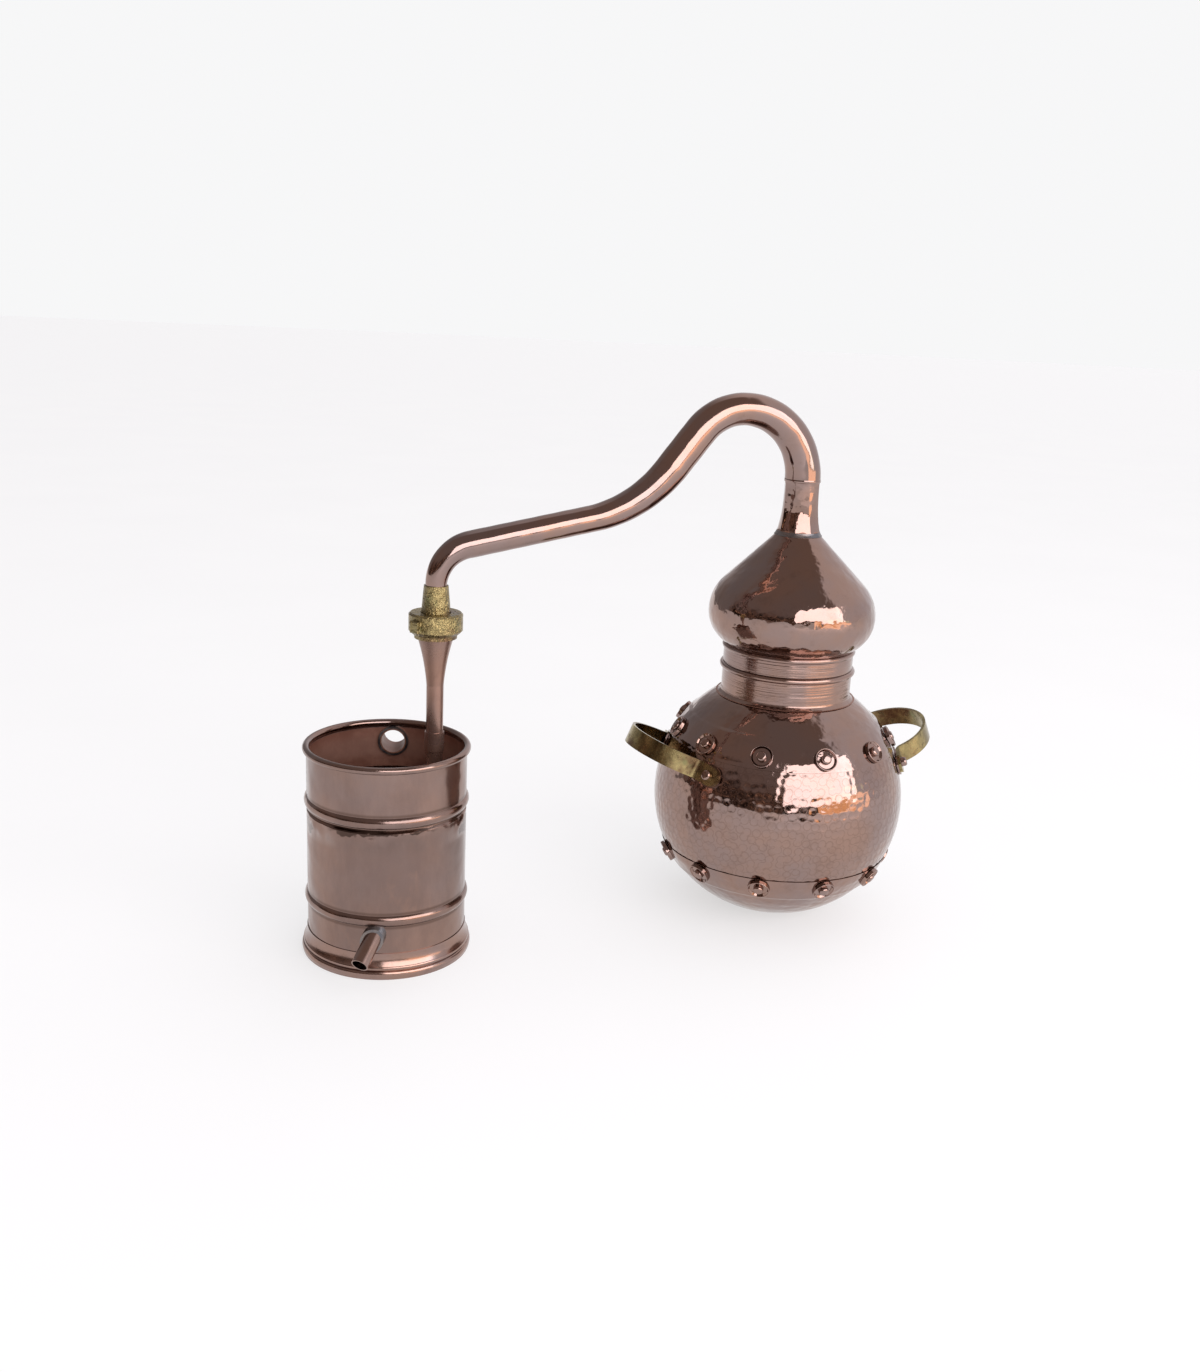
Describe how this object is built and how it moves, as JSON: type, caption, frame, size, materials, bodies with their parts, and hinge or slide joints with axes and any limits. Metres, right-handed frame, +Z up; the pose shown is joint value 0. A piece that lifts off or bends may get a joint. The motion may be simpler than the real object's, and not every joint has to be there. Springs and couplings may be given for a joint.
{
  "type": "copper alembic still",
  "caption": "Riveted copper pot still with an onion head, a swan neck and a screw union that leads into a round worm condenser.",
  "frame": {"origin": "centre of the pot's flat bottom, on the surface the still stands on", "axes": "+Z up along the pot's axis, -X along the swan neck towards the condenser, -Y on the side of the outlet spout"},
  "size_m": [0.5786, 0.225, 0.4636],
  "materials": {
    "copper_hammered": "hammered, polished",
    "copper_smooth": "polished, lightly tarnished",
    "copper_aged": "dull, aged",
    "brass_strap": "aged satin",
    "brass_cast": "cast, satin",
    "solder": "dull",
    "fibre_washer": "matt"
  },
  "bodies": {
    "pot": {"pot_base": "copper_smooth", "pot_belly": "copper_hammered", "pot_shoulder": "copper_smooth", "neck_collar": "copper_smooth", "upper_rivets": "copper_smooth", "upper_dishes": "copper_smooth", "lower_rivets": "copper_smooth", "lower_dishes": "copper_smooth", "handle_left": "brass_strap", "handle_pads_left": "copper_smooth", "handle_rivets_left": "copper_smooth", "handle_right": "brass_strap", "handle_pads_right": "copper_smooth", "handle_rivets_right": "copper_smooth"},
    "head": {"head_collar": "copper_smooth", "head_ring": "copper_smooth", "head_dome": "copper_hammered", "head_throat": "copper_hammered", "swan_neck": "copper_smooth", "union_tail": "brass_cast", "union_washer": "fibre_washer"},
    "union_nut": {"union_nut": "brass_cast"},
    "condenser": {"bucket_shell": "copper_smooth", "bucket_floor": "copper_aged", "foot_ring": "copper_smooth", "union_male": "brass_cast", "inlet_cone": "copper_smooth", "inlet_pipe": "copper_aged", "inlet_socket": "copper_aged", "worm_coil": "copper_aged", "worm_stays": "copper_aged", "outlet_spout": "copper_smooth", "outlet_collar": "solder", "overflow_pipe": "copper_smooth", "overflow_collar": "solder"}
  },
  "joints": [
    {"name": "head_lift", "type": "slide", "parent": "pot", "child": "head", "axis": [0, 0, 1], "range_m": [0, 0.12]},
    {"name": "nut_turn", "type": "hinge", "parent": "head", "child": "union_nut", "pos_m": [-0.32, 0, 0.274], "axis": [0, 0, 1], "continuous": true},
    {"name": "condenser_swivel", "type": "hinge", "parent": "pot", "child": "condenser", "pos_m": [-0.32, 0, 0.26], "axis": [0, 0, 1], "continuous": true}
  ]
}
